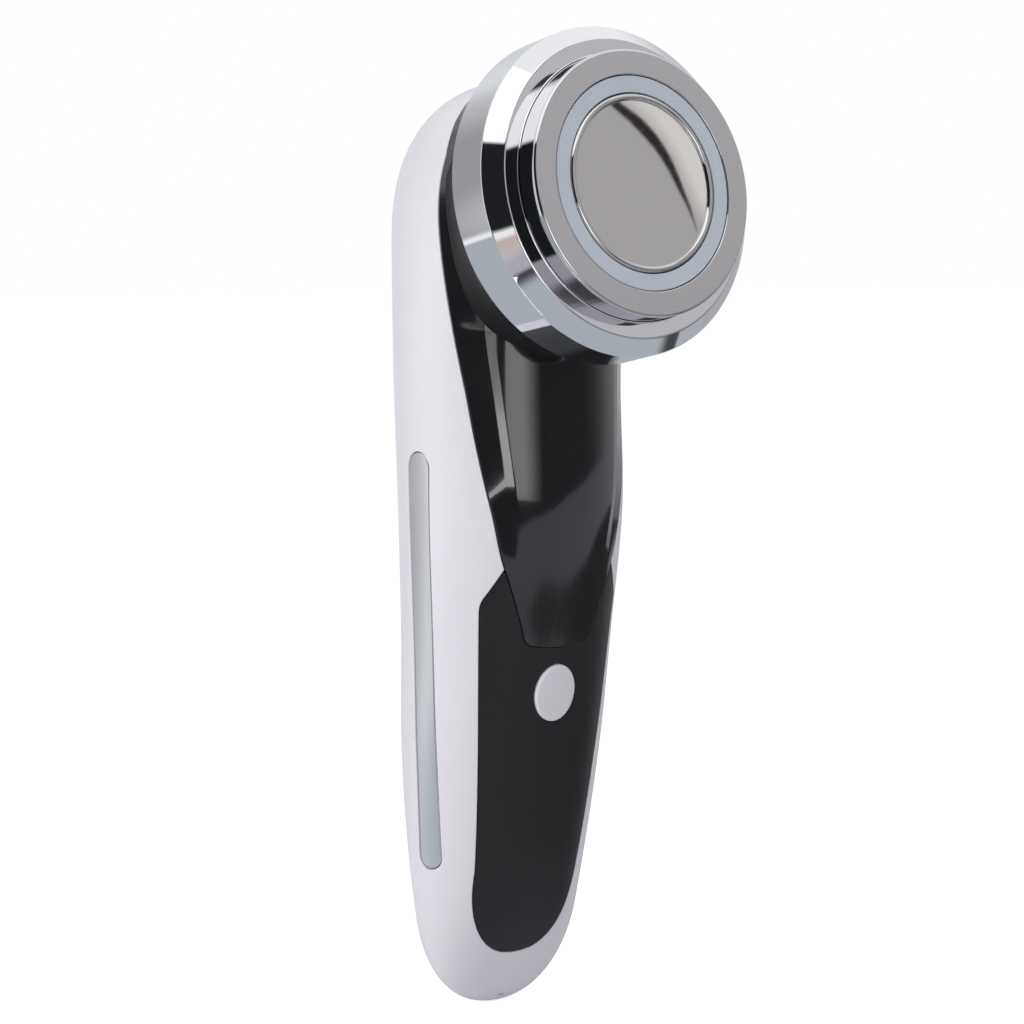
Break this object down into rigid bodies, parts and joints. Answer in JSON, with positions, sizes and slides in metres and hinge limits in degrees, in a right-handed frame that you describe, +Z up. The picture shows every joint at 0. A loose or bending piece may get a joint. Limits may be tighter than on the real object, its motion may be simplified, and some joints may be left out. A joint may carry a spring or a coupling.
{
  "type": "facial toning device",
  "caption": "Handheld facial toning device: tilted round electrode head with a light ring on a slim two-tone handle, with a push button and side contact strips.",
  "frame": {"origin": "centre of the overall box in X and Y, at the lowest point of the handle's tip", "axes": "+Z up along the handle to its crown; the head, the panel and the button face -Y; +X runs across"},
  "size_m": [0.06, 0.0657, 0.1843],
  "materials": {
    "shell_plastic": "satin",
    "neck_plastic": "gloss",
    "panel_plastic": "semi-matte",
    "strip_metal": "brushed",
    "bezel_chrome": "polished",
    "ring_steel": "satin",
    "light_diffuser": "translucent satin",
    "electrode_steel": "satin",
    "black_plastic": "matte",
    "seal_rubber": "matte",
    "circuit_board": "satin",
    "led_lens": "gloss",
    "ceramic": "satin",
    "small_parts": "satin",
    "contact_metal": "polished",
    "screw_steel": "satin",
    "plunger_plastic": "satin",
    "button_plastic": "satin",
    "cell_foil": "satin",
    "foam_pad": "matte",
    "motor_steel": "satin",
    "jack_metal": "satin",
    "lead_black": "satin",
    "lead_red": "satin",
    "lead_blue": "satin"
  },
  "bodies": {
    "handle": {"rear_housing": "shell_plastic", "neck_cover": "neck_plastic", "grip_panel": "panel_plastic", "side_strip_left": "strip_metal", "side_strip_right": "strip_metal", "head_bezel": "bezel_chrome", "face_ring": "ring_steel", "light_ring": "light_diffuser", "electrode_disc": "electrode_steel", "electrode_seat": "black_plastic", "head_collar": "neck_plastic", "head_gasket": "seal_rubber", "led_board": "circuit_board", "leds": "led_lens", "heater_plate": "ceramic", "thermistor": "small_parts", "electrode_contacts": "contact_metal", "head_screws": "screw_steel", "carrier_screws": "screw_steel", "chassis": "black_plastic", "chassis_screws": "screw_steel", "main_board": "circuit_board", "board_screws": "screw_steel", "board_parts": "small_parts", "tact_switch": "small_parts", "battery": "cell_foil", "battery_pad": "foam_pad", "motor_can": "motor_steel", "motor_clamp": "black_plastic", "clamp_screws": "screw_steel", "charge_board": "circuit_board", "charge_jack": "jack_metal", "jack_contact": "contact_metal", "strip_contacts": "contact_metal", "strip_leads": "lead_black", "head_harness": "lead_black", "battery_leads": "lead_red", "motor_leads": "lead_blue", "charge_leads": "lead_red"},
    "button": {"button": "button_plastic"},
    "plunger": {"switch_plunger": "plunger_plastic"},
    "rotor": {"motor_rotor": "motor_steel"}
  },
  "joints": [
    {"name": "button_press", "type": "slide", "parent": "handle", "child": "button", "axis": [0, 0.9875, 0.1578], "range_m": [0, 0.0006], "stiffness_N_per_m": 800},
    {"name": "plunger_slide", "type": "slide", "parent": "handle", "child": "plunger", "axis": [0, 0.9875, 0.1578], "range_m": [0, 0.0006]},
    {"name": "motor_spin", "type": "hinge", "parent": "handle", "child": "rotor", "pos_m": [0, 0.00856, 0.11871], "axis": [0, -0.1578, 0.9875], "continuous": true}
  ],
  "couplings": [
    {"joint": "plunger_slide", "follows": "button_press", "ratio": 1}
  ]
}
